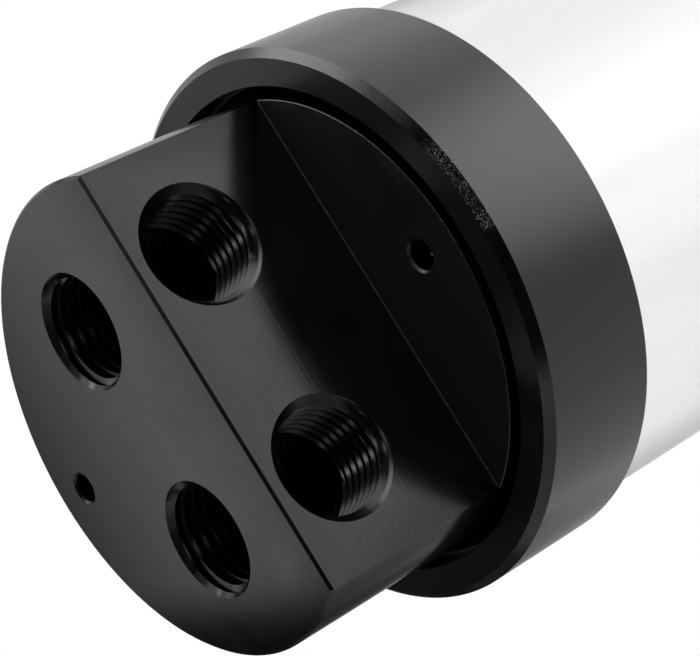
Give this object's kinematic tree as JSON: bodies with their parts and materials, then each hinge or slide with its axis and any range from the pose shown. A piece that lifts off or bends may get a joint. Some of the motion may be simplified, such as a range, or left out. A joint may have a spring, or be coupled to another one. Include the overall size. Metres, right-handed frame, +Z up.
{
  "type": "water cooling reservoir",
  "caption": "Clear tube reservoir for a liquid cooling loop, with a flatted port block below, a ported lid above and threaded union rings at both ends.",
  "frame": {"origin": "centre of the port block's end face, on the tube's axis", "axes": "+Z up along the tube from the port block to the lid; -Y faces out of the block's flat; +X along the flat, to the right"},
  "size_m": [0.0634, 0.0634, 0.1917],
  "materials": {
    "acetal_block": "black acetal, fine milled and turned satin",
    "acetal_ring": "black acetal, turned satin",
    "clear_acrylic": "clear polished acrylic",
    "seal_rubber": "black nitrile rubber",
    "plug_metal": "brass with a black plated satin finish"
  },
  "bodies": {
    "base": {"base_block": "acetal_block", "base_face_seal": "seal_rubber", "base_bore_seal": "seal_rubber"},
    "base_ring": {"base_ring": "acetal_ring"},
    "tank": {"tube": "clear_acrylic"},
    "lid": {"top_lid": "acetal_block", "top_face_seal": "seal_rubber", "top_bore_seal": "seal_rubber"},
    "top_ring": {"top_ring": "acetal_ring"},
    "fill_seal": {"fill_plug_seal": "seal_rubber"},
    "fill_plug": {"fill_plug": "plug_metal"},
    "return_seal": {"return_plug_seal": "seal_rubber"},
    "return_plug": {"return_plug": "plug_metal"},
    "vent_seal": {"vent_plug_seal": "seal_rubber"},
    "vent_plug": {"vent_plug": "plug_metal"}
  },
  "joints": [
    {"name": "base_ring_turn", "type": "hinge", "parent": "base", "child": "base_ring", "pos_m": [0, 0, 0.0311], "axis": [0, 0, -1], "range_deg": [0, 1332]},
    {"name": "tank_rise", "type": "slide", "parent": "base", "child": "tank", "axis": [0, 0, 1], "range_m": [0, 0.0074]},
    {"name": "lid_rise", "type": "slide", "parent": "tank", "child": "lid", "axis": [0, 0, 1], "range_m": [0, 0.0074]},
    {"name": "top_ring_turn", "type": "hinge", "parent": "lid", "child": "top_ring", "pos_m": [0, 0, 0.1813], "axis": [0, 0, 1], "range_deg": [0, 1332]},
    {"name": "fill_plug_rise", "type": "slide", "parent": "lid", "child": "fill_seal", "axis": [0, 0, 1], "range_m": [0, 0.006]},
    {"name": "fill_plug_turn", "type": "hinge", "parent": "fill_seal", "child": "fill_plug", "pos_m": [0, 0.014, 0.1887], "axis": [0, 0, 1], "range_deg": [0, 1615]},
    {"name": "return_plug_rise", "type": "slide", "parent": "lid", "child": "return_seal", "axis": [0, 0, 1], "range_m": [0, 0.006]},
    {"name": "return_plug_turn", "type": "hinge", "parent": "return_seal", "child": "return_plug", "pos_m": [-0.01212, -0.007, 0.1887], "axis": [0, 0, 1], "range_deg": [0, 1615]},
    {"name": "vent_plug_rise", "type": "slide", "parent": "lid", "child": "vent_seal", "axis": [0, 0, 1], "range_m": [0, 0.006]},
    {"name": "vent_plug_turn", "type": "hinge", "parent": "vent_seal", "child": "vent_plug", "pos_m": [0.01212, -0.007, 0.1887], "axis": [0, 0, 1], "range_deg": [0, 1615]}
  ],
  "couplings": [
    {"joint": "base_ring_turn", "follows": "tank_rise", "rad_per_m": 3141.6},
    {"joint": "top_ring_turn", "follows": "lid_rise", "rad_per_m": 3141.6},
    {"joint": "fill_plug_rise", "follows": "fill_plug_turn", "m_per_rad": 0.00021279},
    {"joint": "return_plug_rise", "follows": "return_plug_turn", "m_per_rad": 0.00021279},
    {"joint": "vent_plug_rise", "follows": "vent_plug_turn", "m_per_rad": 0.00021279}
  ]
}
